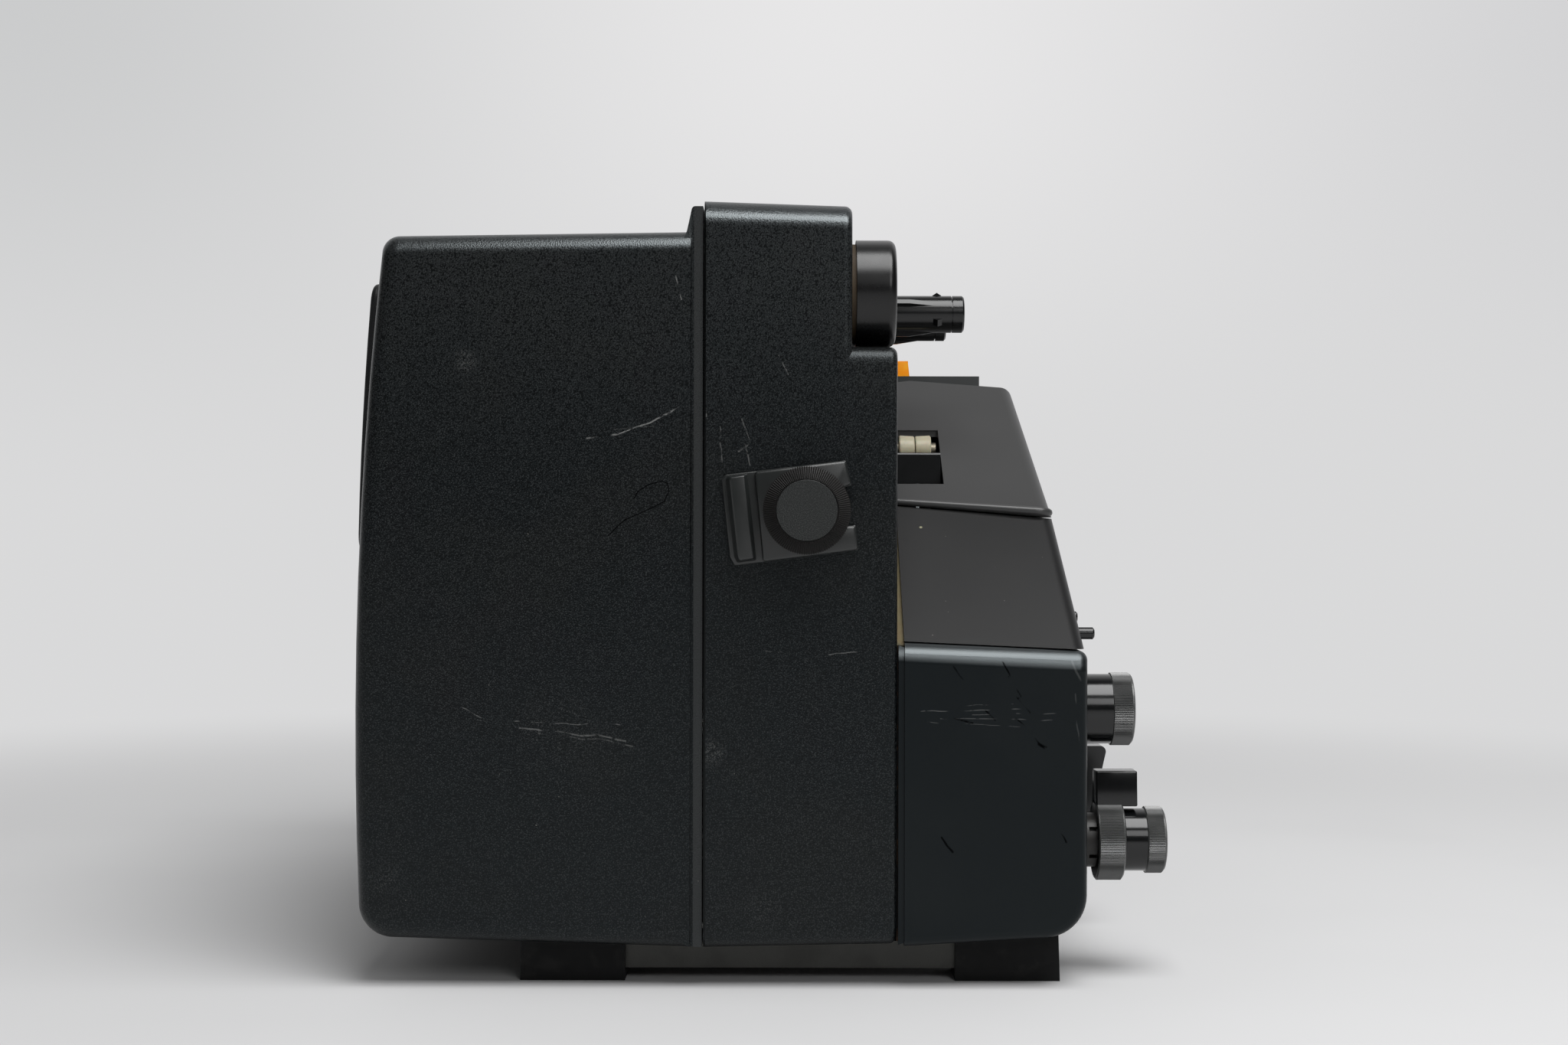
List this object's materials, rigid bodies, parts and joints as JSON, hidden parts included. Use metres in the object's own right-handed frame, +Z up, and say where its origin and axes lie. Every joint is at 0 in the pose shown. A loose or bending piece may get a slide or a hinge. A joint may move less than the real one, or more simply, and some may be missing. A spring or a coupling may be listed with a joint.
{
  "type": "sound film projector",
  "caption": "Portable sound projector for narrow film: grained case with folded reel arms, leaning film covers, side knobs, lens, louvred side and thumb-screw bracket.",
  "frame": {"origin": "on the table under the middle of the bounding box", "axes": "+X to the operator's side with the film path and knobs, +Y to the lens end, +Z up"},
  "size_m": [0.2584, 0.348, 0.2403],
  "materials": {
    "grained_case": "leather grain",
    "vent_panel": "satin",
    "plate_metal": "satin",
    "smooth_case": "satin",
    "film_cover": "satin",
    "arm_plastic": "satin",
    "knob_plastic": "glossy",
    "lens_black": "satin",
    "spindle_plastic": "glossy",
    "cream_roller": "satin",
    "orange_guide": "glossy",
    "dark_metal": "satin",
    "rubber": "matte",
    "steel": "satin",
    "aluminium": "satin",
    "chrome": "polished",
    "brass": "satin",
    "mirror": "polished",
    "glass": "clear",
    "speaker_cone": "matte",
    "board": "satin"
  },
  "bodies": {
    "case": {"main_body": "grained_case", "rear_cover": "grained_case", "side_grille": "vent_panel", "chassis_plate": "plate_metal", "control_housing": "smooth_case", "lower_film_cover": "film_cover", "front_housing": "film_cover", "inlet_deck": "smooth_case", "inlet_guide": "orange_guide", "foot_bars": "dark_metal", "rubber_feet": "rubber", "arm_bases": "dark_metal", "exit_roller_shaft": "steel", "exit_guide_block": "knob_plastic", "sound_head": "dark_metal", "gate_plate": "steel", "light_mirror": "mirror", "lens_holder": "aluminium", "lamp": "glass", "lamp_bracket": "steel", "motor": "steel", "drive_belt": "rubber", "sprocket_belt": "rubber", "base_chassis": "steel", "transformer": "dark_metal", "speaker": "speaker_cone", "amplifier_board": "board", "control_pots": "aluminium", "selector_bushing": "aluminium", "jack_sockets": "chrome", "mains_inlet": "lens_black"},
    "take_up_arm": {"take_up_arm": "arm_plastic"},
    "take_up_spindle": {"take_up_spindle": "spindle_plastic"},
    "supply_arm": {"supply_arm": "arm_plastic"},
    "supply_spindle": {"supply_spindle": "spindle_plastic"},
    "exit_rollers": {"exit_rollers": "cream_roller"},
    "film_door": {"upper_film_cover": "film_cover"},
    "carry_handle": {"carry_handle": "knob_plastic"},
    "tilt_foot": {"tilt_foot": "dark_metal"},
    "volume_knob": {"volume_knob": "knob_plastic"},
    "selector_ring": {"selector_ring": "knob_plastic"},
    "balance_knob": {"balance_knob": "knob_plastic"},
    "function_dial": {"function_dial": "knob_plastic"},
    "rear_push_pin": {"rear_push_pin": "knob_plastic"},
    "front_push_pin": {"front_push_pin": "knob_plastic"},
    "clamp_bracket": {"clamp_bracket": "arm_plastic"},
    "clamp_knob": {"clamp_knob": "knob_plastic"},
    "lens": {"lens_barrel": "lens_black", "lens_glass": "glass"},
    "zoom_ring": {"zoom_ring": "knob_plastic"},
    "focus_knob": {"focus_knob": "knob_plastic"},
    "pressure_plate": {"pressure_plate": "steel"},
    "motor_rotor": {"motor_shaft": "steel", "fan_wheel": "knob_plastic"},
    "shutter": {"shutter": "steel"},
    "lower_sprocket": {"lower_sprocket": "cream_roller"},
    "upper_sprocket": {"upper_sprocket": "cream_roller"},
    "sound_drum": {"sound_drum": "steel", "flywheel": "brass"}
  },
  "joints": [
    {"name": "take_up_arm_swing", "type": "hinge", "parent": "case", "child": "take_up_arm", "pos_m": [0.0291, -0.1396, 0.2133], "axis": [1, 0, 0], "range_deg": [0, 150]},
    {"name": "take_up_spindle_spin", "type": "hinge", "parent": "take_up_arm", "child": "take_up_spindle", "pos_m": [0.0291, -0.073, 0.2134], "axis": [1, 0, 0], "continuous": true},
    {"name": "supply_arm_swing", "type": "hinge", "parent": "case", "child": "supply_arm", "pos_m": [0.0291, 0.1306, 0.2133], "axis": [-1, 0, 0], "range_deg": [0, 150]},
    {"name": "supply_spindle_spin", "type": "hinge", "parent": "supply_arm", "child": "supply_spindle", "pos_m": [0.0291, 0.0112, 0.2176], "axis": [1, 0, 0], "continuous": true},
    {"name": "exit_rollers_spin", "type": "hinge", "parent": "case", "child": "exit_rollers", "pos_m": [0.0535, -0.065, 0.1672], "axis": [1, 0, 0], "continuous": true},
    {"name": "film_door_pull", "type": "slide", "parent": "case", "child": "film_door", "axis": [1, 0, 0], "range_m": [0, 0.02]},
    {"name": "carry_handle_lift", "type": "slide", "parent": "case", "child": "carry_handle", "axis": [0, 0, 1], "range_m": [0, 0.026]},
    {"name": "tilt_foot_extend", "type": "slide", "parent": "case", "child": "tilt_foot", "axis": [0, 0, -1], "range_m": [0, 0.018]},
    {"name": "volume_turn", "type": "hinge", "parent": "case", "child": "volume_knob", "pos_m": [0.1011, -0.13, 0.0833], "axis": [1, 0, 0], "range_deg": [-150, 150]},
    {"name": "selector_turn", "type": "hinge", "parent": "case", "child": "selector_ring", "pos_m": [0.1011, -0.13, 0.042], "axis": [1, 0, 0], "range_deg": [-45, 45]},
    {"name": "balance_turn", "type": "hinge", "parent": "case", "child": "balance_knob", "pos_m": [0.1011, -0.13, 0.042], "axis": [1, 0, 0], "range_deg": [-150, 150]},
    {"name": "function_turn", "type": "hinge", "parent": "case", "child": "function_dial", "pos_m": [0.1011, -0.047, 0.044], "axis": [1, 0, 0], "range_deg": [-90, 90]},
    {"name": "rear_pin_press", "type": "slide", "parent": "case", "child": "rear_push_pin", "axis": [-1, 0, 0], "range_m": [0, 0.0025], "stiffness_N_per_m": 300},
    {"name": "front_pin_press", "type": "slide", "parent": "case", "child": "front_push_pin", "axis": [-1, 0, 0], "range_m": [0, 0.0025], "stiffness_N_per_m": 300},
    {"name": "clamp_bracket_swivel", "type": "hinge", "parent": "case", "child": "clamp_bracket", "pos_m": [0.0152, -0.157, 0.1456], "axis": [0, 1, 0], "range_deg": [-90, 90]},
    {"name": "clamp_knob_turn", "type": "hinge", "parent": "case", "child": "clamp_knob", "pos_m": [0.0152, -0.157, 0.1456], "axis": [0, -1, 0], "continuous": true},
    {"name": "focus_turn", "type": "hinge", "parent": "case", "child": "focus_knob", "pos_m": [0.1011, 0.107, 0.1681], "axis": [1, 0, 0], "range_deg": [-50, 50]},
    {"name": "lens_slide", "type": "slide", "parent": "case", "child": "lens", "axis": [0, 1, 0], "range_m": [-0.003, 0.003]},
    {"name": "zoom_turn", "type": "hinge", "parent": "lens", "child": "zoom_ring", "pos_m": [0.0535, 0.0905, 0.15], "axis": [0, 1, 0], "range_deg": [-60, 60]},
    {"name": "pressure_plate_lift", "type": "slide", "parent": "case", "child": "pressure_plate", "axis": [0, 1, 0], "range_m": [0, 0.0015], "stiffness_N_per_m": 300},
    {"name": "motor_spin", "type": "hinge", "parent": "case", "child": "motor_rotor", "pos_m": [0, -0.082, 0.06], "axis": [1, 0, 0], "continuous": true},
    {"name": "shutter_spin", "type": "hinge", "parent": "case", "child": "shutter", "pos_m": [0, 0.026, 0.15], "axis": [1, 0, 0], "continuous": true},
    {"name": "lower_sprocket_spin", "type": "hinge", "parent": "case", "child": "lower_sprocket", "pos_m": [0, 0.033, 0.11775], "axis": [1, 0, 0], "continuous": true},
    {"name": "upper_sprocket_spin", "type": "hinge", "parent": "case", "child": "upper_sprocket", "pos_m": [0, 0.05, 0.1825], "axis": [1, 0, 0], "continuous": true},
    {"name": "sound_drum_spin", "type": "hinge", "parent": "case", "child": "sound_drum", "pos_m": [0, -0.027, 0.128], "axis": [1, 0, 0], "continuous": true}
  ],
  "couplings": [
    {"joint": "focus_turn", "follows": "lens_slide", "rad_per_m": 285.71},
    {"joint": "shutter_spin", "follows": "motor_spin", "ratio": 0.36364},
    {"joint": "lower_sprocket_spin", "follows": "motor_spin", "ratio": -0.065636},
    {"joint": "upper_sprocket_spin", "follows": "motor_spin", "ratio": -0.065636}
  ]
}
